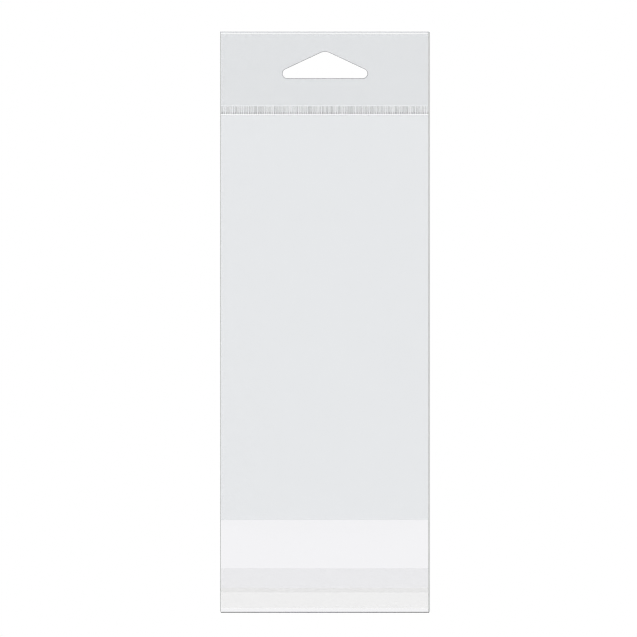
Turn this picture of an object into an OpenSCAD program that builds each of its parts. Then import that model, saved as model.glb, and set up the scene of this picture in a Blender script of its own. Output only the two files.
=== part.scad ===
// Resealable header bag. One web of clear film is folded over a stiffening strip to make the
// header, crimped across below it, welded down both sides and left open at the bottom. The
// back panel runs on past the mouth as a lip, which carries a band of adhesive, the release
// liner over it and the tab that lifts the liner.
// Millimetres. +X is to the right, -Y is the front and +Z is up. The origin is the top of the
// hang hole at mid thickness, where the bar of a display hook carries the bag.

/* [Bag] */
// Width over the side welds
bag_w = 78; // [60:1:160]
// Depth of the pocket, from the crimped seal down to the mouth
pocket_h = 150.4; // [80:0.1:300]
// Length of the lip below the mouth
lip_h = 34.5; // [24:0.5:60]
// Thickness of the bag film
film_t = 0.05; // [0.03:0.01:0.1]
// How far the two panels stand apart in the middle of the mouth
gape = 10; // [6:0.5:16]

/* [Header] */
// Height of the header, from the top fold to the lower edge of the crimped seal
header_h = 31.1; // [26:0.1:60]
// Thickness of the stiffening strip inside the header
insert_t = 0.1; // [0.06:0.01:0.3]
// Outside radius of the roll that the top fold leaves
fold_r = 0.3; // [0.22:0.01:0.5]

/* [Hang hole] */
// Width of the hole
hole_w = 31.4; // [24:0.1:40]
// Height of the hole
hole_h = 9.7; // [8:0.1:12]
// Radius of the rounded top, under which the hook bears
hole_top_r = 4.1; // [3:0.1:6]
// Radius of the two bottom corners
hole_corner_r = 1.7; // [1:0.1:2.5]
// Film left between the top fold and the hole
hole_drop = 7.65; // [5:0.05:10]

/* [Crimped seal] */
// Height of the crimp ribs
rib_h = 3; // [2:0.1:6]
// Height of the plain land above and below the ribs
land_h = 0.4; // [0.3:0.1:1]
// Distance from one rib to the next
rib_pitch = 0.85; // [0.7:0.05:2]
// Rise of the ribs from the middle plane of the seal
rib_rise = 0.12; // [0.05:0.01:0.2]
// Share of the rise that is lost at the faintest rib
rib_scatter = 0.5; // [0:0.05:0.7]

/* [Edges] */
// Width of the bead along each side weld
weld_w = 0.6; // [0.4:0.05:1.2]
// Thickness of the bead along each side weld
weld_t = 0.26; // [0.2:0.01:0.4]
// Height of the thickened edge along the bottom of the lip
hem_h = 0.45; // [0.2:0.05:0.8]
// Rise of that edge from each face of the lip
hem_rise = 0.05; // [0.02:0.01:0.1]

/* [Closure] */
// Height of the adhesive band and of the liner over it
adhesive_h = 9; // [6:0.1:12]
// Thickness of the adhesive
adhesive_t = 0.05; // [0.03:0.01:0.1]
// Thickness of the release liner
liner_t = 0.05; // [0.03:0.01:0.1]
// Height of the tab that lifts the liner
tab_h = 7.5; // [5:0.1:9]
// Thickness of the tab
tab_t = 0.05; // [0.03:0.01:0.1]
// How far the tab laps over the lower edge of the liner
tab_lap = 1.7; // [1:0.1:3]
// Distance from the bottom of the lip up to the tab
tab_up = 1.8; // [1:0.1:4]
// Gap between the end of a strip and the side weld
strip_gap = 0.1; // [0.05:0.05:1]

/* [Hidden] */

film_colour = [0.90, 0.91, 0.92];
insert_colour = [0.88, 0.89, 0.90];
adhesive_colour = [0.92, 0.92, 0.93];
liner_colour = [0.94, 0.94, 0.94];

// Heights, measured from the top of the hang hole
top_z = hole_drop;
roll_z = top_z - fold_r;
seal_z = top_z - header_h;
seal_top_z = seal_z + rib_h + 2 * land_h;
mouth_z = seal_z - pocket_h;
lip_z = mouth_z - lip_h;
tab_z = lip_z + tab_up;
tab_top_z = tab_z + tab_h;
adhesive_z = tab_top_z - tab_lap;
adhesive_top_z = adhesive_z + adhesive_h;

// The film ends in the middle of the weld beads, and the strips stop short of them
film_x = (bag_w - weld_w) / 2;
inside_x = bag_w / 2 - weld_w;
strip_x = inside_x - strip_gap;

// Thickness of the header, and of the layers on the lip up to the tab
stack_t = insert_t + 2 * film_t;
liner_face = adhesive_t + liner_t;

// Facets across and down the bowed panels, and round a weld bead
columns = 16;
rows = 12;
bead_sides = 12;
// How soon the panels part below the seal, and how the rows crowd towards it
swell = 2.2;
crowding = 1.4;
// Share of the pitch that is flat on the crest of a rib, and in the trough beside it
flat = 0.3;
ramp = 0.5 - flat;
// Spreads the faint ribs so that their order never repeats
golden = (sqrt(5) - 1) / 2;
// Depth of the punch, which clears the header on both sides
punch = 2;

// The bowed sheets share these columns, so that they lie face to face
strip_columns = [for (i = [0 : columns]) strip_x * (2 * i / columns - 1)];
film_columns = concat([-film_x], strip_columns, [film_x]);
// The first row lies inside the lower land, where the panels are one with the seal
panel_rows = concat(
    [seal_z + land_h / 2],
    [for (j = [0 : rows]) seal_z - pocket_h * pow(j / rows, crowding)]
);

// Distance of a panel's inner face from the middle plane of the bag
function bow(x) = 1 - pow(x / film_x, 2);
function depth_share(z) = min(1, max(0, (seal_z - z) / pocket_h));
function stand_off(x, z) = gape / 2 * bow(x) * (1 - pow(1 - depth_share(z), swell));

// Rise of one rib, less the share that it loses
function rib_height(i) = rib_rise * (1 - rib_scatter * (i * golden - floor(i * golden)));

// A sheet that follows the front panel (side -1) or the back panel (side 1). It fills the
// space from near to far, which are measured along Y from that panel's inner face.
module sheet(side, xs, zs, near, far) {
    n = len(xs);
    m = len(zs);
    function at(face, i, j) = (face * m + j) * n + i;
    points = [
        for (y = [near, far])
            for (z = zs)
                for (x = xs)
                    [x, side * stand_off(x, z) + y, z]
    ];
    faces = [
        for (i = [0 : n - 2])
            for (j = [0 : m - 2])
                each [
                    [at(0, i, j), at(0, i + 1, j), at(0, i + 1, j + 1)],
                    [at(0, i, j), at(0, i + 1, j + 1), at(0, i, j + 1)],
                    [at(1, i, j), at(1, i + 1, j + 1), at(1, i + 1, j)],
                    [at(1, i, j), at(1, i, j + 1), at(1, i + 1, j + 1)],
                ]
    ];
    ends = [
        for (i = [0 : n - 2])
            each [
                [at(0, i + 1, 0), at(0, i, 0), at(1, i, 0), at(1, i + 1, 0)],
                [at(0, i, m - 1), at(0, i + 1, m - 1), at(1, i + 1, m - 1), at(1, i, m - 1)],
            ]
    ];
    edges = [
        for (j = [0 : m - 2])
            each [
                [at(0, 0, j), at(0, 0, j + 1), at(1, 0, j + 1), at(1, 0, j)],
                [at(0, n - 1, j + 1), at(0, n - 1, j), at(1, n - 1, j), at(1, n - 1, j + 1)],
            ]
    ];
    polyhedron(points, concat(faces, ends, edges), convexity = 6);
}

// Draws a section seen from the right along the whole of a width
module across(width) {
    translate([-width / 2, 0, 0])
        rotate([90, 0, 90])
            linear_extrude(width)
                children();
}

// Section of the fold: a roll on top of the walls that hang from it
module fold_section(roll_r, wall_t, bottom_z) {
    translate([0, roll_z])
        circle(r = roll_r, $fn = 32);
    translate([-wall_t / 2, bottom_z])
        square([wall_t, roll_z - bottom_z]);
}

// Outline of the hang hole: a flat triangle with a rounded top and rounded corners
module hole_outline() {
    top_centre = [0, -hole_top_r];
    corner_centre = [hole_w / 2 - hole_corner_r, hole_corner_r - hole_h];
    // The sloping side is tangent to the top arc and to the corner arc
    span = corner_centre - top_centre;
    slope = atan2(-span.y, span.x) + asin((hole_top_r - hole_corner_r) / norm(span));
    outward = [sin(slope), cos(slope)];
    right = [
        top_centre + hole_top_r * outward,
        corner_centre + hole_corner_r * outward,
        [corner_centre.x, -hole_h],
    ];
    polygon([
        for (p = right) p,
        for (i = [2 : -1 : 0]) [-right[i].x, right[i].y],
    ]);
    intersection() {
        translate(top_centre)
            circle(r = hole_top_r, $fn = 96);
        translate([-hole_top_r, -hole_top_r])
            square([2 * hole_top_r, hole_top_r]);
    }
    for (side = [-1, 1])
        translate([side * corner_centre.x, corner_centre.y])
            circle(r = hole_corner_r, $fn = 64);
}

module hole_punch() {
    rotate([90, 0, 0])
        linear_extrude(punch, center = true)
            hole_outline();
}

// Film folded over the strip, shut at both ends and down to the lower edge of the upper land
module header_fold() {
    difference() {
        across(2 * film_x)
            fold_section(fold_r, stack_t, seal_top_z - land_h);
        across(2 * inside_x)
            fold_section(fold_r - film_t, insert_t, seal_top_z);
    }
}

// Both plies pressed into one wave, which runs into the land above and below
module crimp_ribs() {
    count = floor(2 * film_x / rib_pitch);
    start_x = -count * rib_pitch / 2;
    corners = [
        [ramp / 2, -1],
        [ramp / 2 + flat, -1],
        [ramp * 1.5 + flat, 1],
        [ramp * 1.5 + flat * 2, 1],
    ];
    wave = [
        [-film_x, 0],
        for (i = [0 : count - 1])
            for (c = corners)
                [start_x + (i + c.x) * rib_pitch, c.y * rib_height(i)],
        [film_x, 0],
    ];
    translate([0, 0, seal_z + land_h / 2])
        linear_extrude(rib_h + land_h)
            polygon([
                for (p = wave) p + [0, film_t],
                for (i = [len(wave) - 1 : -1 : 0]) wave[i] - [0, film_t],
            ]);
}

module lower_land() {
    translate([-film_x, -stack_t / 2, seal_z])
        cube([2 * film_x, stack_t, land_h]);
}

module weld_bead() {
    translate([0, 0, lip_z])
        linear_extrude(roll_z - lip_z)
            polygon([
                for (k = [0 : bead_sides - 1])
                    [
                        weld_w / 2 * cos(360 * k / bead_sides),
                        weld_t / 2 * sin(360 * k / bead_sides),
                    ]
            ]);
}

module bag_film() {
    color(film_colour)
        difference() {
            union() {
                header_fold();
                crimp_ribs();
                lower_land();
                sheet(-1, film_columns, panel_rows, -film_t, 0);
                sheet(1, film_columns, concat(panel_rows, [lip_z]), 0, film_t);
                sheet(1, film_columns, [lip_z + hem_h, lip_z], -hem_rise, film_t + hem_rise);
                for (side = [-1, 1])
                    translate([side * film_x, 0, 0])
                        weld_bead();
            }
            hole_punch();
        }
}

module header_insert() {
    color(insert_colour)
        difference() {
            translate([-strip_x, -insert_t / 2, seal_top_z])
                cube([2 * strip_x, insert_t, roll_z - seal_top_z]);
            hole_punch();
        }
}

module adhesive_strip() {
    color(adhesive_colour)
        sheet(1, strip_columns, [adhesive_top_z, adhesive_z], -adhesive_t, 0);
}

module release_liner() {
    color(liner_colour)
        sheet(1, strip_columns, [adhesive_top_z, adhesive_z], -liner_face, -adhesive_t);
}

module lift_tab() {
    color(liner_colour)
        sheet(1, strip_columns, [tab_top_z, tab_z], -liner_face - tab_t, -liner_face);
}

bag_film();
header_insert();
adhesive_strip();
release_liner();
lift_tab();
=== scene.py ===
# Resealable header bag: clear film, crimped seal, side welds, hang hole and peel-off closure.
# Metres throughout. The bag hangs in the XZ plane, with its front towards -Y.
import math

import bpy
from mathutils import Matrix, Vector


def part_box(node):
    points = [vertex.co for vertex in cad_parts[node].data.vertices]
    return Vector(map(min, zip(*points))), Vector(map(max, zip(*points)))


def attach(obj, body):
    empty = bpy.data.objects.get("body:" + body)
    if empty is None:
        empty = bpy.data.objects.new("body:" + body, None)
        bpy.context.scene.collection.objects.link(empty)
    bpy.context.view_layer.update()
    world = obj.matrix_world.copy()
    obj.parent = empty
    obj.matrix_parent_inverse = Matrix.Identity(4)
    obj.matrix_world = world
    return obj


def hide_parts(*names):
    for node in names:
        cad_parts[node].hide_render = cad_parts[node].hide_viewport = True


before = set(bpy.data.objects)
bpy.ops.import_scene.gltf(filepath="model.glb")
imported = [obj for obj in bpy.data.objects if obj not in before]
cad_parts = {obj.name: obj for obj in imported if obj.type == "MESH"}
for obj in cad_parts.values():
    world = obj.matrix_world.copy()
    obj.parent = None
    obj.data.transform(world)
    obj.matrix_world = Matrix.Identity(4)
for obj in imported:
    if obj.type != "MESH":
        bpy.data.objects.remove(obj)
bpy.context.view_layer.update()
mm = 0.001

filmLow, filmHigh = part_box("bag_film")
insertLow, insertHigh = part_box("header_insert")
adhesiveLow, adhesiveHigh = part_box("adhesive_strip")
tabLow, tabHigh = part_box("lift_tab")

bag = {
    "pocketDepth": 150.4 * mm,
    "sealHeight": 3.8 * mm,
    "headerHeight": 31.1 * mm,
    "gape": 10 * mm,  # how far the panels stand apart in the middle of the mouth
    "swell": 2.2,  # how soon they part below the seal
    "weldWidth": 0.6 * mm,
    "filmThickness": 0.05 * mm,
    "ply": 0.036 * mm,  # drawn a little thinner, so that plies that touch keep apart
    "ripple": 0.12 * mm,  # shallow waves in both panels
    "rippleSize": 22 * mm,
    "rippleStretch": 0.45,  # the waves are longer along the bag than across it
    "rippleSeed": 0.3,
}
topZ = filmHigh.z
lipZ = filmLow.z
sealZ = topZ - bag["headerHeight"]
sealTopZ = sealZ + bag["sealHeight"]
mouthZ = sealZ - bag["pocketDepth"]
halfWidth = filmHigh.x
filmX = halfWidth - bag["weldWidth"] / 2
stripX = insertHigh.x

# the right bead is the wider one, and the plies end just inside both
weld = {
    "leftWidth": 0.34 * mm, "rightWidth": 0.70 * mm, "thickness": 0.26 * mm,
    "waver": 0.15,  # share by which the bead is thinner in places
    "waverRate": 900.0,  # thick and thin places in a metre of it, about
    "sides": 10, "segments": 180,
    "grip": 0.03 * mm,  # how far the plies reach into the bead
}
plyLeft = weld["leftWidth"] - weld["grip"] - halfWidth
plyRight = halfWidth - weld["rightWidth"] + weld["grip"]
plyGap = (bag["filmThickness"] - bag["ply"]) / 2

scene = bpy.context.scene
scene.view_settings.view_transform = "Standard"
scene.cycles.transparent_max_bounces = 64  # ten films can lie behind each other
scene.cycles.filter_width = 1.0  # the photograph's edges are as sharp as its pixels


# Materials

filmFinish = {
    "ior": 1.49,
    "roughness": 0.1,
    "streakRoughness": 0.12,  # added along the drawn lines
    "cloudSize": 34 * mm,  # size of the faint clouds in the film
    "cloudDepth": 0.02,
    "cloudEnds": (0.3, 0.7),  # noise values where a cloud is darkest and lightest
    "cloudDetail": 3,
    "streakSize": 5 * mm,  # drawn lines that the film keeps from being blown
    "streakStretch": 0.03,
    "streakShare": 0.25,
    "streakDetail": 4,
    "wrinkleSize": 14 * mm,
    "wrinkleHeight": 0.035 * mm,
    "wrinkleStrength": 0.6,
    "wrinkleDetail": 2,
}


def addNode(tree, kind, **settings):
    node = tree.nodes.new(kind)
    for key, value in settings.items():
        setattr(node, key, value)
    return node


def plug(tree, value, socket):
    # a socket gets either a wire or a plain value
    if isinstance(value, bpy.types.NodeSocket):
        tree.links.new(value, socket)
    else:
        socket.default_value = value


def calc(tree, operation, *values):
    node = addNode(tree, "ShaderNodeMath", operation=operation)
    for value, socket in zip(values, node.inputs):
        plug(tree, value, socket)
    return node.outputs[0]


def middleOf(tree, low, high):
    return calc(tree, "MULTIPLY", calc(tree, "ADD", low, high), 0.5)


def perSurface(cover):
    # a film has two faces, and together they cover this share of what is behind it
    return 1 - math.sqrt(1 - cover)


def cloudyColour(tree, coords, colour, finish):
    clouds = addNode(tree, "ShaderNodeTexNoise", noise_dimensions="4D")
    clouds.inputs["W"].default_value = len(bpy.data.materials)  # each film has its own clouds
    clouds.inputs["Scale"].default_value = 1 / finish["cloudSize"]
    clouds.inputs["Detail"].default_value = finish["cloudDetail"]
    tree.links.new(coords, clouds.inputs["Vector"])
    ramp = addNode(tree, "ShaderNodeValToRGB")
    for element, end, sign in zip(ramp.color_ramp.elements, finish["cloudEnds"], (-1, 1)):
        share = 1 + sign * finish["cloudDepth"]
        element.position = end
        element.color = [min(1, channel * share) for channel in colour] + [1]
    tree.links.new(clouds.outputs["Fac"], ramp.inputs["Fac"])
    return ramp.outputs["Color"]


def filmSurface(tree, coords, finish):
    # fine upright drawn lines and wide soft wrinkles, for the gloss to run over
    stretch = addNode(tree, "ShaderNodeMapping")
    stretch.inputs["Scale"].default_value = (1, 1, finish["streakStretch"])
    tree.links.new(coords, stretch.inputs["Vector"])
    streaks = addNode(tree, "ShaderNodeTexNoise")
    streaks.inputs["Scale"].default_value = 1 / finish["streakSize"]
    streaks.inputs["Detail"].default_value = finish["streakDetail"]
    tree.links.new(stretch.outputs["Vector"], streaks.inputs["Vector"])
    wrinkles = addNode(tree, "ShaderNodeTexNoise")
    wrinkles.inputs["Scale"].default_value = 1 / finish["wrinkleSize"]
    wrinkles.inputs["Detail"].default_value = finish["wrinkleDetail"]
    tree.links.new(coords, wrinkles.inputs["Vector"])
    share = finish["streakShare"]
    height = calc(tree, "MULTIPLY_ADD", streaks.outputs["Fac"], share, wrinkles.outputs["Fac"])
    bump = addNode(tree, "ShaderNodeBump")
    bump.inputs["Strength"].default_value = finish["wrinkleStrength"]
    bump.inputs["Distance"].default_value = finish["wrinkleHeight"]
    tree.links.new(height, bump.inputs["Height"])
    added = finish["streakRoughness"]
    rough = calc(tree, "MULTIPLY_ADD", streaks.outputs["Fac"], added, finish["roughness"])
    return bump.outputs["Normal"], rough


def makeFilm(name, colour, cover, finish=filmFinish):
    material = bpy.data.materials.new(name)
    material.use_nodes = True
    tree = material.node_tree
    shader = tree.nodes["Principled BSDF"]
    coords = addNode(tree, "ShaderNodeTexCoord").outputs["Object"]
    normal, rough = filmSurface(tree, coords, finish)
    tree.links.new(cloudyColour(tree, coords, colour, finish), shader.inputs["Base Color"])
    tree.links.new(normal, shader.inputs["Normal"])
    tree.links.new(rough, shader.inputs["Roughness"])
    shader.inputs["IOR"].default_value = finish["ior"]
    shader.inputs["Alpha"].default_value = perSurface(cover)
    return material


def makeRibFilm(name, cover, *levels):
    # each rib has its own shade, which picks a grey from the levels given
    material = makeFilm(name, screen(levels[0]), cover)
    tree = material.node_tree
    shader = tree.nodes["Principled BSDF"]
    shade = addNode(tree, "ShaderNodeAttribute", attribute_name="shade")
    tones = addNode(tree, "ShaderNodeValToRGB")
    ramp = tones.color_ramp.elements
    last = len(levels) - 1
    for i in range(1, last):
        ramp.new(i / last)
    for element, level in zip(ramp, levels):
        element.color = [*screen(level - 1, level, level), 1]
    tree.links.new(shade.outputs["Fac"], tones.inputs["Fac"])
    tree.links.new(tones.outputs["Color"], shader.inputs["Base Color"])
    return material


def screen(*levels):
    # screen levels of red, green and blue, or of one grey, as linear colour
    shares = [level / 255 for level in levels]
    colour = [s / 12.92 if s <= 0.04045 else ((s + 0.055) / 1.055) ** 2.4 for s in shares]
    return colour if len(colour) == 3 else colour * 3


paint = {
    "backFilm": makeFilm("backFilm", screen(190, 188, 202), 0.21),
    "frontFilm": makeFilm("frontFilm", screen(180, 192, 195), 0.22),
    "headerFilm": makeFilm("headerFilm", screen(185, 192, 198), 0.21),
    "foldFilm": makeFilm("foldFilm", screen(193, 196, 201), 0.30),
    "insertFilm": makeFilm("insertFilm", screen(193, 193, 197), 0.14),
    "adhesiveFilm": makeFilm("adhesiveFilm", screen(200, 201, 203), 0.105),
    "linerFilm": makeFilm("linerFilm", screen(200, 201, 203), 0.105),
    "tabFilm": makeFilm("tabFilm", screen(227, 227, 219), 0.20),
    "weldedEdge": makeFilm("weldedEdge", screen(210, 211, 210), 0.90),
    "cutEdge": makeFilm("cutEdge", screen(201, 200, 202), 0.80),
    "hemEdge": makeFilm("hemEdge", screen(159), 0.96),
    # painted highlight: opaque white on the ridge under the fold, standing for the bright line that
    # light makes there
    "creaseHighlightPaint": makeFilm("creaseHighlightPaint", screen(253, 254, 255), 1.0),
    # painted highlight: opaque white on the land below the ribs, standing for the bright line that
    # light makes there
    "landHighlightPaint": makeFilm("landHighlightPaint", screen(251, 252, 255), 1.0),
    # painted highlight: a pale strip along the tab's lower edge, standing for the bright line that
    # light makes there
    "tabHighlightPaint": makeFilm("tabHighlightPaint", screen(252), 0.70),
    "crimpRib": makeRibFilm("crimpRib", 0.82, 212, 221, 228, 236, 244),
    "crimpTooth": makeRibFilm("crimpTooth", 0.50, 149, 159, 168, 182),
    "crimpMark": makeRibFilm("crimpMark", 0.11, 150, 160, 175),
}
print("materials ready")


# Geometry Nodes helpers

def makeTree(name, inputs):
    tree = bpy.data.node_groups.new(name, "GeometryNodeTree")
    tree.interface.new_socket("Geometry", in_out="OUTPUT", socket_type="NodeSocketGeometry")
    for label, kind in inputs.items():
        tree.interface.new_socket(label, in_out="INPUT", socket_type="NodeSocket" + kind)
    source = addNode(tree, "NodeGroupInput")
    return tree, source.outputs


def endTree(tree, geometry, material):
    smooth = addNode(tree, "GeometryNodeSetShadeSmooth")
    real = addNode(tree, "GeometryNodeRealizeInstances")
    coat = addNode(tree, "GeometryNodeSetMaterial")
    target = addNode(tree, "NodeGroupOutput")
    tree.links.new(geometry, smooth.inputs["Geometry"])
    tree.links.new(smooth.outputs["Geometry"], real.inputs["Geometry"])
    tree.links.new(real.outputs["Geometry"], coat.inputs["Geometry"])
    tree.links.new(material, coat.inputs["Material"])
    tree.links.new(coat.outputs["Geometry"], target.inputs["Geometry"])


rimAngle = math.radians(50)


def plainMesh(carrier):
    # modifiers become a mesh that is smooth all over but for its rims
    graph = bpy.context.evaluated_depsgraph_get()
    mesh = bpy.data.meshes.new_from_object(carrier.evaluated_get(graph), depsgraph=graph)
    mesh.set_sharp_from_angle(angle=rimAngle)
    return mesh


def growPiece(name, tree, values):
    carrier = bpy.data.objects.new(name + "Carrier", bpy.data.meshes.new(name + "Carrier"))
    scene.collection.objects.link(carrier)
    form = carrier.modifiers.new("form", "NODES")
    form.node_group = tree
    for item in tree.interface.items_tree:
        if item.in_out == "INPUT":
            form[item.identifier] = values[item.name]
    mesh = plainMesh(carrier)
    mesh.name = name
    bpy.data.objects.remove(carrier)
    piece = bpy.data.objects.new(name, mesh)
    scene.collection.objects.link(piece)
    return piece


def thicken(piece, thickness):
    # the mesh is the front face, and the film's body lies behind it
    shell = piece.modifiers.new("thickness", "SOLIDIFY")
    shell.thickness = thickness
    shell.offset = -1
    mesh = plainMesh(piece)
    piece.modifiers.remove(shell)
    piece.data = mesh


def settle(piece, slot, *nodes):
    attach(piece, "root")
    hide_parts(*nodes)


# Bowed sheets: both panels, and all that lies on the lip

def buildSheetTree():
    tree, given = makeTree("bowedSheet", {
        "Left": "Float", "Right": "Float", "Top": "Float", "Bottom": "Float",
        "Columns": "Int", "Rows": "Int", "Side": "Float", "Offset": "Float",
        "Film X": "Float", "Seal Z": "Float", "Depth": "Float", "Gape": "Float", "Swell": "Float",
        "Ripple": "Float", "Ripple Size": "Float", "Ripple Stretch": "Float", "Seed": "Float",
        "Material": "Material",
    })
    grid = addNode(tree, "GeometryNodeMeshGrid")
    plug(tree, calc(tree, "SUBTRACT", given["Right"], given["Left"]), grid.inputs["Size X"])
    plug(tree, calc(tree, "SUBTRACT", given["Top"], given["Bottom"]), grid.inputs["Size Y"])
    plug(tree, given["Columns"], grid.inputs["Vertices X"])
    plug(tree, given["Rows"], grid.inputs["Vertices Y"])
    place = addNode(tree, "ShaderNodeSeparateXYZ")
    plug(tree, addNode(tree, "GeometryNodeInputPosition").outputs[0], place.inputs[0])
    middleX = middleOf(tree, given["Left"], given["Right"])
    middleZ = middleOf(tree, given["Top"], given["Bottom"])
    x = calc(tree, "ADD", place.outputs["X"], middleX)
    z = calc(tree, "ADD", place.outputs["Y"], middleZ)

    # none at the welds, and most in the middle
    across = calc(tree, "DIVIDE", x, given["Film X"])
    bow = calc(tree, "SUBTRACT", 1.0, calc(tree, "MULTIPLY", across, across))
    # none at the seal, and most at the mouth
    below = calc(tree, "DIVIDE", calc(tree, "SUBTRACT", given["Seal Z"], z), given["Depth"])
    share = calc(tree, "SUBTRACT", 1.0, calc(tree, "MINIMUM", calc(tree, "MAXIMUM", below, 0.0), 1.0))
    opened = calc(tree, "SUBTRACT", 1.0, calc(tree, "POWER", share, given["Swell"]))
    standing = calc(tree, "MULTIPLY", bow, opened)

    # shallow waves, longest along the bag, that fade out where the film is held
    spot = addNode(tree, "ShaderNodeCombineXYZ")
    plug(tree, x, spot.inputs["X"])
    plug(tree, given["Seed"], spot.inputs["Y"])
    plug(tree, calc(tree, "MULTIPLY", z, given["Ripple Stretch"]), spot.inputs["Z"])
    waves = addNode(tree, "ShaderNodeTexNoise")
    plug(tree, spot.outputs[0], waves.inputs["Vector"])
    plug(tree, calc(tree, "DIVIDE", 1.0, given["Ripple Size"]), waves.inputs["Scale"])
    waves.inputs["Detail"].default_value = 1
    drop = calc(tree, "MULTIPLY", calc(tree, "MULTIPLY", waves.outputs[0], given["Ripple"]), standing)

    depth = calc(tree, "MULTIPLY", calc(tree, "MULTIPLY", given["Gape"], 0.5), standing)
    depth = calc(tree, "SUBTRACT", depth, drop)
    y = calc(tree, "MULTIPLY_ADD", depth, given["Side"], given["Offset"])
    spread = addNode(tree, "ShaderNodeCombineXYZ")
    for value, socket in zip((x, y, z), spread.inputs):
        plug(tree, value, socket)
    move = addNode(tree, "GeometryNodeSetPosition")
    tree.links.new(grid.outputs["Mesh"], move.inputs["Geometry"])
    tree.links.new(spread.outputs[0], move.inputs["Position"])
    endTree(tree, move.outputs["Geometry"], given["Material"])
    return tree


sheetTree = buildSheetTree()
sheetRule = {
    "Film X": filmX, "Seal Z": sealZ, "Depth": bag["pocketDepth"], "Gape": bag["gape"],
    "Swell": bag["swell"], "Ripple": 0.0, "Ripple Size": bag["rippleSize"],
    "Ripple Stretch": bag["rippleStretch"], "Seed": bag["rippleSeed"],
}


def growSheet(name, material, left, right, top, bottom, side, offset, thickness, columns, rows, **more):
    piece = growPiece(name, sheetTree, {
        **sheetRule, "Left": left, "Right": right, "Top": top, "Bottom": bottom, "Side": side,
        "Offset": offset, "Columns": columns, "Rows": rows, "Material": paint[material], **more,
    })
    thicken(piece, thickness)
    return piece


# which way a sheet bows
toFront = -1.0
toBack = 1.0

acrossColumns = 65
panelMesh = {"columns": acrossColumns, "rows": 150, "Ripple": bag["ripple"]}

frontPanel = growSheet("frontPanel", "frontFilm", plyLeft, plyRight, sealTopZ, mouthZ, toFront,
                       -plyGap - bag["ply"], bag["ply"], **panelMesh)
backPanel = growSheet("backPanel", "backFilm", plyLeft, plyRight, sealTopZ, lipZ, toBack,
                      plyGap, bag["ply"], **panelMesh)
settle(frontPanel, "film", "bag_film")
settle(backPanel, "film", "bag_film")

hem = {"height": 0.45 * mm, "rise": 0.05 * mm, "inset": 0.3 * mm}
lipEdge = growSheet("lipEdge", "hemEdge", hem["inset"] - halfWidth, halfWidth - hem["inset"],
                    lipZ + hem["height"], lipZ, toBack, -hem["rise"] / 2,
                    bag["filmThickness"] + hem["rise"], columns=acrossColumns, rows=2)
settle(lipEdge, "film", "bag_film")
print("panels and lip ready")


# Closure on the lip: each layer lies in front of the last, drawn thinner than its slot

closure = {"slot": 0.05 * mm, "layer": 0.03 * mm, "highlightHeight": 0.37 * mm}
closureMesh = {"columns": acrossColumns, "rows": 12}


def growStrip(name, material, top, bottom, place):
    front = -(place + 0.5) * closure["slot"] - closure["layer"] / 2
    return growSheet(name, material, plyLeft, stripX, top, bottom, toBack,
                     front, closure["layer"], **closureMesh)


adhesiveStrip = growStrip("adhesiveStrip", "adhesiveFilm", adhesiveHigh.z, adhesiveLow.z, 0)
releaseLiner = growStrip("releaseLiner", "linerFilm", adhesiveHigh.z, adhesiveLow.z, 1)
liftTab = growStrip("liftTab", "tabFilm", tabHigh.z, tabLow.z, 2)
# a pale strip below the tab's lower edge, painted as a highlight line
tabHighlightStrip = growStrip("tabHighlightStrip", "tabHighlightPaint", tabLow.z, tabLow.z - closure["highlightHeight"], 2)
settle(adhesiveStrip, "adhesive", "adhesive_strip")
settle(releaseLiner, "liner", "release_liner")
settle(liftTab, "tab", "lift_tab")
settle(tabHighlightStrip, "tab", "lift_tab")
print("closure ready")


# Header: two film walls with the strip between them, all punched, and the fold above

hole = {
    "width": 31.4 * mm, "height": 9.7 * mm, "topRadius": 4.1 * mm, "cornerRadius": 1.7 * mm,
    "rim": 0.33 * mm,  # width of the darker line that the cut edge makes
    "rimSides": 8, "filletSteps": 14,
}


def holeShape(grow):
    # the sharp triangle whose filleted outline is the hole, grown by an even margin
    top = hole["topRadius"]
    corner = hole["cornerRadius"]
    spanX = hole["width"] / 2 - corner
    spanZ = hole["height"] - corner - top
    lean = math.atan2(spanZ, spanX) + math.asin((top - corner) / math.hypot(spanX, spanZ))
    apex = (top + grow) / math.cos(lean) - top
    foot = -hole["height"] - grow
    return {
        "Apex": apex, "Foot": foot, "Half": (apex - foot) / math.tan(lean),
        "Top Radius": top + grow, "Corner Radius": corner + grow,
    }


holeInputs = {
    "Apex": "Float", "Foot": "Float", "Half": "Float",
    "Top Radius": "Float", "Corner Radius": "Float",
}


def drawHole(tree, given):
    triangle = addNode(tree, "GeometryNodeCurvePrimitiveCircle")
    triangle.inputs["Resolution"].default_value = 3
    index = addNode(tree, "GeometryNodeInputIndex").outputs[0]
    low = calc(tree, "GREATER_THAN", index, 0.5)  # points 1 and 2 are the two feet
    side = calc(tree, "MULTIPLY_ADD", index, 2.0, -3.0)
    x = calc(tree, "MULTIPLY", calc(tree, "MULTIPLY", side, low), given["Half"])
    drop = calc(tree, "SUBTRACT", given["Foot"], given["Apex"])
    z = calc(tree, "MULTIPLY_ADD", low, drop, given["Apex"])
    spot = addNode(tree, "ShaderNodeCombineXYZ")
    plug(tree, x, spot.inputs["X"])
    plug(tree, z, spot.inputs["Y"])
    corners = addNode(tree, "GeometryNodeSetPosition")
    tree.links.new(triangle.outputs["Curve"], corners.inputs["Geometry"])
    tree.links.new(spot.outputs[0], corners.inputs["Position"])
    more = calc(tree, "SUBTRACT", given["Corner Radius"], given["Top Radius"])
    radius = calc(tree, "MULTIPLY_ADD", low, more, given["Top Radius"])
    fillet = addNode(tree, "GeometryNodeFilletCurve", mode="POLY")
    tree.links.new(corners.outputs["Geometry"], fillet.inputs["Curve"])
    fillet.inputs["Count"].default_value = hole["filletSteps"]
    tree.links.new(radius, fillet.inputs["Radius"])
    return fillet.outputs["Curve"]


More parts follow.
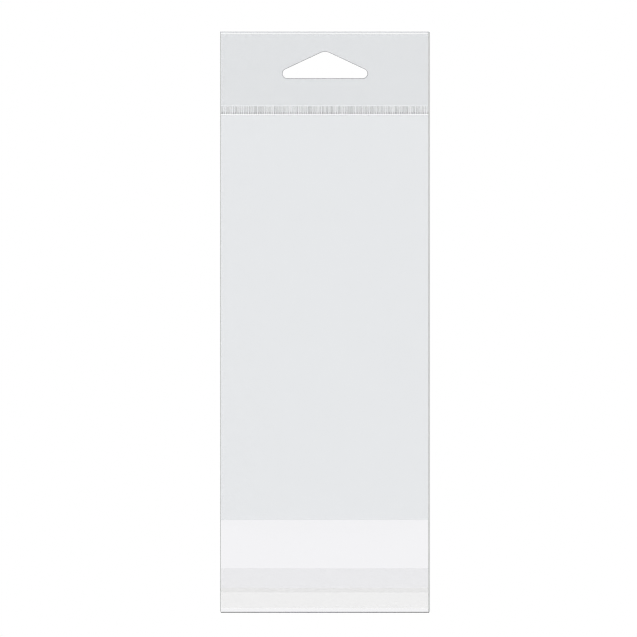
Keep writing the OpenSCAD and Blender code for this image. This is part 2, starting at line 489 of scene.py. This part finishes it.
def standUp(tree, geometry, y):
    # turns what was drawn flat into the plane of the bag
    place = addNode(tree, "ShaderNodeCombineXYZ")
    plug(tree, y, place.inputs["Y"])
    turn = addNode(tree, "GeometryNodeTransform")
    tree.links.new(geometry, turn.inputs["Geometry"])
    tree.links.new(place.outputs[0], turn.inputs["Translation"])
    turn.inputs["Rotation"].default_value = (math.pi / 2, 0, 0)
    return turn.outputs["Geometry"]


def buildWallTree():
    tree, given = makeTree("punchedWall", {
        "Left": "Float", "Right": "Float", "Top": "Float", "Bottom": "Float", "Front": "Float",
        **holeInputs, "Material": "Material",
    })
    outline = addNode(tree, "GeometryNodeCurvePrimitiveQuadrilateral")
    plug(tree, calc(tree, "SUBTRACT", given["Right"], given["Left"]), outline.inputs["Width"])
    plug(tree, calc(tree, "SUBTRACT", given["Top"], given["Bottom"]), outline.inputs["Height"])
    lift = addNode(tree, "ShaderNodeCombineXYZ")
    plug(tree, middleOf(tree, given["Left"], given["Right"]), lift.inputs["X"])
    plug(tree, middleOf(tree, given["Top"], given["Bottom"]), lift.inputs["Y"])
    raised = addNode(tree, "GeometryNodeTransform")
    tree.links.new(outline.outputs["Curve"], raised.inputs["Geometry"])
    tree.links.new(lift.outputs[0], raised.inputs["Translation"])
    both = addNode(tree, "GeometryNodeJoinGeometry")
    tree.links.new(raised.outputs["Geometry"], both.inputs["Geometry"])
    tree.links.new(drawHole(tree, given), both.inputs["Geometry"])
    fill = addNode(tree, "GeometryNodeFillCurve", mode="TRIANGLES")
    tree.links.new(both.outputs["Geometry"], fill.inputs["Curve"])
    endTree(tree, standUp(tree, fill.outputs["Mesh"], given["Front"]), given["Material"])
    return tree


def buildRimTree():
    tree, given = makeTree("holeRim", {**holeInputs, "Radius": "Float", "Material": "Material"})
    section = addNode(tree, "GeometryNodeCurvePrimitiveCircle")
    section.inputs["Resolution"].default_value = hole["rimSides"]
    plug(tree, given["Radius"], section.inputs["Radius"])
    bead = addNode(tree, "GeometryNodeCurveToMesh")
    tree.links.new(drawHole(tree, given), bead.inputs["Curve"])
    tree.links.new(section.outputs["Curve"], bead.inputs["Profile Curve"])
    endTree(tree, standUp(tree, bead.outputs["Mesh"], 0.0), given["Material"])
    return tree


header = {
    "wall": 0.1 * mm,  # depth of the slot that the strip fills
    "roll": 0.3 * mm, "rollSides": 24,
    "creaseHeight": 0.37 * mm, "creaseDrop": 0.63 * mm, "creaseDepth": 0.16 * mm,
}
wallTree = buildWallTree()
rimTree = buildRimTree()


def growWall(name, material, right, top, bottom, front, thickness):
    piece = growPiece(name, wallTree, {
        "Left": plyLeft, "Right": right, "Top": top, "Bottom": bottom, "Front": front,
        "Material": paint[material], **holeShape(0),
    })
    thicken(piece, thickness)
    return piece


rollZ = topZ - header["roll"]
wallFace = header["wall"] / 2 + plyGap + bag["ply"]
rollOpens = math.acos(wallFace / header["roll"])  # angle at which the roll turns into the walls
wallTop = rollZ - (header["roll"] - plyGap) * math.sin(rollOpens)
insertFront = -header["wall"] / 2 + plyGap
headerFront = growWall("headerFront", "headerFilm", plyRight, wallTop, sealTopZ,
                       -wallFace, bag["ply"])
headerBack = growWall("headerBack", "headerFilm", plyRight, wallTop, sealTopZ,
                      wallFace - bag["ply"], bag["ply"])
headerInsert = growWall("headerInsert", "insertFilm", stripX, wallTop, insertLow.z,
                        insertFront, header["wall"] - 2 * plyGap)
holeRim = growPiece("holeRim", rimTree, {
    "Radius": hole["rim"] / 2, "Material": paint["cutEdge"], **holeShape(hole["rim"] / 2),
})
settle(headerFront, "film", "bag_film")
settle(headerBack, "film", "bag_film")
settle(headerInsert, "insert", "header_insert")
settle(holeRim, "film", "bag_film")


def extrudeSection(name, points, left, right, material):
    # a closed bar along X whose section is a ring of (y, z) points
    count = len(points)
    places = [(x, y, z) for x in (left, right) for y, z in points]
    faces = [(i, (i + 1) % count, count + (i + 1) % count, count + i) for i in range(count)]
    faces += [tuple(range(count - 1, -1, -1)), tuple(range(count, 2 * count))]
    mesh = bpy.data.meshes.new(name)
    mesh.from_pydata(places, [], faces)
    mesh.materials.append(paint[material])
    mesh.update()
    piece = bpy.data.objects.new(name, mesh)
    scene.collection.objects.link(piece)
    return piece


def ridgeSection(depth, bottom, top):
    # a low ridge on both faces, with its corners taken off
    cut = (top - bottom) / 4
    back = [(depth, bottom + cut), (depth, top - cut), (depth - cut, top)]
    front = [(-y, z) for y, z in reversed(back)]
    return back + front + [(cut - depth, bottom), (depth - cut, bottom)]


def rollSection(outer, inner, sides):
    # the film's own thickness, bent into a bulb that is open between the two walls
    arc = [(math.pi + 2 * rollOpens) * i / sides - rollOpens for i in range(sides + 1)]
    outside = [(outer * math.cos(a), rollZ + outer * math.sin(a)) for a in arc]
    inside = [(inner * math.cos(a), rollZ + inner * math.sin(a)) for a in reversed(arc)]
    return outside + inside


rollShape = rollSection(header["roll"], header["roll"] - bag["ply"], header["rollSides"])
foldRoll = extrudeSection("foldRoll", rollShape, -halfWidth, filmX, "foldFilm")
# a low ridge under the fold, painted opaque white as a highlight line
creaseTop = topZ - header["creaseDrop"]
creaseShape = ridgeSection(header["creaseDepth"], creaseTop - header["creaseHeight"], creaseTop)
foldCreaseHighlight = extrudeSection("foldCreaseHighlight", creaseShape, plyLeft, plyRight, "creaseHighlightPaint")
settle(foldRoll, "film", "bag_film")
settle(foldCreaseHighlight, "film", "bag_film")
print("header ready")


# Crimped seal: ribs, the teeth at their feet, the land painted white as a highlight line, and faint
# marks below

# heights are measured up from the seal's lower edge
crimp = {"pitch": 0.85 * mm, "count": 91, "foot": 0.385 * mm, "barSides": 8, "beadSplits": 2}
land = {"foot": -0.06 * mm, "height": 0.505 * mm, "depth": 0.15 * mm}


def buildCrimpTree():
    tree, given = makeTree("crimp", {
        "Count": "Int", "Pitch": "Float", "Foot": "Float", "Height": "Float", "Width": "Float",
        "Width Scatter": "Float", "Rise": "Float", "Jitter": "Float", "Round": "Bool",
        "Seed": "Int", "Material": "Material",
    })
    line = addNode(tree, "GeometryNodeMeshLine")
    plug(tree, given["Count"], line.inputs["Count"])
    steps = calc(tree, "SUBTRACT", given["Count"], 1.0)
    start = calc(tree, "MULTIPLY", calc(tree, "MULTIPLY", steps, given["Pitch"]), -0.5)
    begin = addNode(tree, "ShaderNodeCombineXYZ")
    plug(tree, start, begin.inputs["X"])
    plug(tree, calc(tree, "MULTIPLY_ADD", given["Height"], 0.5, given["Foot"]), begin.inputs["Z"])
    step = addNode(tree, "ShaderNodeCombineXYZ")
    plug(tree, given["Pitch"], step.inputs["X"])
    tree.links.new(begin.outputs[0], line.inputs["Start Location"])
    tree.links.new(step.outputs[0], line.inputs["Offset"])

    def chance(low, high, shift):
        # each use shifts the seed, so that no two draws are alike
        draw = addNode(tree, "FunctionNodeRandomValue", data_type="FLOAT")
        ports = [s for s in draw.inputs if s.enabled]
        plug(tree, low, ports[0])
        plug(tree, high, ports[1])
        plug(tree, calc(tree, "ADD", given["Seed"], shift), ports[-1])
        return [s for s in draw.outputs if s.enabled][0]

    sway = addNode(tree, "ShaderNodeCombineXYZ")
    least = calc(tree, "MULTIPLY", given["Jitter"], -1.0)
    plug(tree, chance(least, given["Jitter"], 1), sway.inputs["X"])
    nudge = addNode(tree, "GeometryNodeSetPosition")
    tree.links.new(line.outputs["Mesh"], nudge.inputs["Geometry"])
    tree.links.new(sway.outputs[0], nudge.inputs["Offset"])

    bar = addNode(tree, "GeometryNodeMeshCylinder")
    bar.inputs["Vertices"].default_value = crimp["barSides"]
    bar.inputs["Radius"].default_value = 0.5
    bar.inputs["Depth"].default_value = 1
    bead = addNode(tree, "GeometryNodeMeshIcoSphere")
    bead.inputs["Radius"].default_value = 0.5
    bead.inputs["Subdivisions"].default_value = crimp["beadSplits"]
    pick = addNode(tree, "GeometryNodeSwitch", input_type="GEOMETRY")
    tree.links.new(given["Round"], pick.inputs["Switch"])
    tree.links.new(bar.outputs["Mesh"], pick.inputs["False"])
    tree.links.new(bead.outputs["Mesh"], pick.inputs["True"])

    narrow = calc(tree, "SUBTRACT", given["Width"], given["Width Scatter"])
    wide = calc(tree, "ADD", given["Width"], given["Width Scatter"])
    size = addNode(tree, "ShaderNodeCombineXYZ")
    plug(tree, chance(narrow, wide, 2), size.inputs["X"])
    plug(tree, calc(tree, "MULTIPLY", given["Rise"], 2.0), size.inputs["Y"])
    plug(tree, given["Height"], size.inputs["Z"])
    place = addNode(tree, "GeometryNodeInstanceOnPoints")
    tree.links.new(nudge.outputs["Geometry"], place.inputs["Points"])
    tree.links.new(pick.outputs["Output"], place.inputs["Instance"])
    tree.links.new(size.outputs[0], place.inputs["Scale"])
    store = addNode(tree, "GeometryNodeStoreNamedAttribute", data_type="FLOAT", domain="INSTANCE")
    store.inputs["Name"].default_value = "shade"
    tree.links.new(place.outputs["Instances"], store.inputs["Geometry"])
    plug(tree, chance(0.0, 1.0, 3), store.inputs["Value"])
    endTree(tree, store.outputs["Geometry"], given["Material"])
    return tree


crimpTree = buildCrimpTree()
rib = {
    "Height": 2.875 * mm, "Width": 0.65 * mm, "Width Scatter": 0.2 * mm, "Rise": 0.14 * mm,
    "Jitter": 0.1 * mm, "Round": False, "Seed": 7,
}
tooth = {
    "Height": 0.75 * mm, "Width": 0.46 * mm, "Width Scatter": 0.1 * mm, "Rise": 0.2 * mm,
    "Jitter": 0.03 * mm, "Round": False, "Seed": 19,
}
mark = {
    "Height": 0.3 * mm, "Width": 0.36 * mm, "Width Scatter": 0.08 * mm, "Rise": 0.08 * mm,
    "Jitter": 0.03 * mm, "Round": True, "Seed": 43,
}


def growCrimp(name, material, foot, form):
    return growPiece(name, crimpTree, {
        "Count": crimp["count"], "Pitch": crimp["pitch"], "Foot": foot,
        "Material": paint[material], **form,
    })


landFoot = sealZ + land["foot"]
sealRibs = growCrimp("sealRibs", "crimpRib", sealZ + crimp["foot"], rib)
sealTeeth = growCrimp("sealTeeth", "crimpTooth", sealZ + crimp["foot"], tooth)
sealMarks = growCrimp("sealMarks", "crimpMark", landFoot - mark["Height"], mark)
# the land below the ribs is painted opaque white as a highlight line
landShape = ridgeSection(land["depth"], landFoot, landFoot + land["height"])
sealLandHighlight = extrudeSection("sealLandHighlight", landShape, plyLeft, plyRight, "landHighlightPaint")
for piece in (sealRibs, sealTeeth, sealMarks, sealLandHighlight):
    settle(piece, "film", "bag_film")
print("seal ready")


# Side welds: a melted bead from the fold to the bottom of the lip

def buildBeadTree():
    tree, given = makeTree("weldBead", {
        "X": "Float", "Top": "Float", "Bottom": "Float", "Width": "Float", "Thickness": "Float",
        "Waver": "Float", "Waver Rate": "Float", "Material": "Material",
    })
    rod = addNode(tree, "GeometryNodeMeshCylinder")
    rod.inputs["Vertices"].default_value = weld["sides"]
    rod.inputs["Side Segments"].default_value = weld["segments"]
    rod.inputs["Radius"].default_value = 0.5
    plug(tree, calc(tree, "SUBTRACT", given["Top"], given["Bottom"]), rod.inputs["Depth"])
    place = addNode(tree, "ShaderNodeSeparateXYZ")
    plug(tree, addNode(tree, "GeometryNodeInputPosition").outputs[0], place.inputs[0])
    middle = middleOf(tree, given["Top"], given["Bottom"])
    # the bead is thicker and thinner by turns, but its outer side stays straight
    lumps = addNode(tree, "ShaderNodeTexNoise", noise_dimensions="1D")
    plug(tree, calc(tree, "MULTIPLY", place.outputs["Z"], given["Waver Rate"]), lumps.inputs["W"])
    least = calc(tree, "SUBTRACT", 1.0, given["Waver"])
    swell = calc(tree, "MULTIPLY_ADD", lumps.outputs[0], given["Waver"], least)
    spread = addNode(tree, "ShaderNodeCombineXYZ")
    x = calc(tree, "MULTIPLY_ADD", place.outputs["X"], given["Width"], given["X"])
    plug(tree, x, spread.inputs["X"])
    thick = calc(tree, "MULTIPLY", given["Thickness"], swell)
    plug(tree, calc(tree, "MULTIPLY", place.outputs["Y"], thick), spread.inputs["Y"])
    plug(tree, calc(tree, "ADD", place.outputs["Z"], middle), spread.inputs["Z"])
    move = addNode(tree, "GeometryNodeSetPosition")
    tree.links.new(rod.outputs["Mesh"], move.inputs["Geometry"])
    tree.links.new(spread.outputs[0], move.inputs["Position"])
    endTree(tree, move.outputs["Geometry"], given["Material"])
    return tree


beadTree = buildBeadTree()
beads = (("weldLeft", -1, weld["leftWidth"]), ("weldRight", 1, weld["rightWidth"]))
for name, side, width in beads:
    bead = growPiece(name, beadTree, {
        "X": side * (halfWidth - width / 2), "Top": rollZ, "Bottom": lipZ + hem["height"],
        "Width": width, "Thickness": weld["thickness"], "Waver": weld["waver"],
        "Waver Rate": weld["waverRate"], "Material": paint["weldedEdge"],
    })
    settle(bead, "film", "bag_film")
print("welds ready")


# Floor, light and camera

studio = {
    "floorDrop": 16 * mm,  # how far the bag hangs above the floor
    "floorSize": 6.0,
    "floorLevel": 250,  # screen level of its grey
    "floorRoughness": 0.9,
    "skyStrength": 0.62,
    "lampStrength": 0.62,
    "lampSpread": 26,  # degrees of sky that each softbox fills
    # azimuth and elevation of each, in degrees
    "lamps": {"keyLamp": (-38, 32), "fillLamp": (42, 24), "backLamp": (165, 30)},
}


def makeFloor():
    half = studio["floorSize"] / 2
    z = lipZ - studio["floorDrop"]
    mesh = bpy.data.meshes.new("floor")
    corners = [(-half, -half, z), (half, -half, z), (half, half, z), (-half, half, z)]
    mesh.from_pydata(corners, [], [(0, 1, 2, 3)])
    floor = bpy.data.objects.new("floor", mesh)
    scene.collection.objects.link(floor)
    material = bpy.data.materials.new("paleFloor")
    material.use_nodes = True
    tree = material.node_tree
    shader = tree.nodes["Principled BSDF"]
    shader.inputs["Base Color"].default_value = [*screen(studio["floorLevel"]), 1]
    shader.inputs["Roughness"].default_value = studio["floorRoughness"]
    # seen from below, the floor lets the view through
    side = addNode(tree, "ShaderNodeNewGeometry")
    clear = addNode(tree, "ShaderNodeBsdfTransparent")
    mix = addNode(tree, "ShaderNodeMixShader")
    tree.links.new(side.outputs["Backfacing"], mix.inputs["Fac"])
    tree.links.new(shader.outputs[0], mix.inputs[1])
    tree.links.new(clear.outputs[0], mix.inputs[2])
    tree.links.new(mix.outputs[0], tree.nodes["Material Output"].inputs["Surface"])
    mesh.materials.append(material)


def makeSky():
    # white to look at, and a little less bright as a light
    world = bpy.data.worlds.new("studioSky")
    scene.world = world
    world.use_nodes = True
    tree = world.node_tree
    seen = addNode(tree, "ShaderNodeLightPath")
    direct = calc(tree, "MAXIMUM", seen.outputs["Is Camera Ray"], seen.outputs["Is Glossy Ray"])
    direct = calc(tree, "MAXIMUM", direct, seen.outputs["Is Transmission Ray"])
    strength = calc(tree, "MULTIPLY_ADD", direct, 1 - studio["skyStrength"], studio["skyStrength"])
    sky = tree.nodes["Background"]
    sky.inputs["Color"].default_value = (1, 1, 1, 1)
    tree.links.new(strength, sky.inputs["Strength"])


def makeLamp(name, azimuth, elevation):
    # a far softbox, so that the whole floor gets the same light
    light = bpy.data.lights.new(name, "SUN")
    light.energy = studio["lampStrength"]
    light.angle = math.radians(studio["lampSpread"])
    lamp = bpy.data.objects.new(name, light)
    scene.collection.objects.link(lamp)
    lamp.rotation_euler = (math.pi / 2 - math.radians(elevation), 0, math.radians(azimuth))


# the photograph's size and the bag's borders in it, in pixels
photo = {"size": 637, "left": 220, "right": 430, "top": 31.3, "bottom": 613}
cameraDistance = 1.5


def makeCamera():
    # square on and without perspective, as the photograph is
    pixel = 2 * halfWidth / (photo["right"] - photo["left"])
    data = bpy.data.cameras.new("camera")
    data.type = "ORTHO"
    data.ortho_scale = photo["size"] * pixel
    data.clip_start = 0.05
    data.clip_end = 20
    camera = bpy.data.objects.new("camera", data)
    scene.collection.objects.link(camera)
    acrossPhoto = photo["size"] / 2 - (photo["left"] + photo["right"]) / 2
    downPhoto = photo["size"] / 2 - (photo["top"] + photo["bottom"]) / 2
    middleZ = (topZ + lipZ) / 2
    camera.location = (acrossPhoto * pixel, -cameraDistance, middleZ - downPhoto * pixel)
    camera.rotation_euler = (math.pi / 2, 0, 0)
    scene.camera = camera


makeFloor()
makeSky()
for name, (azimuth, elevation) in studio["lamps"].items():
    makeLamp(name, azimuth, elevation)
makeCamera()
print("studio ready")
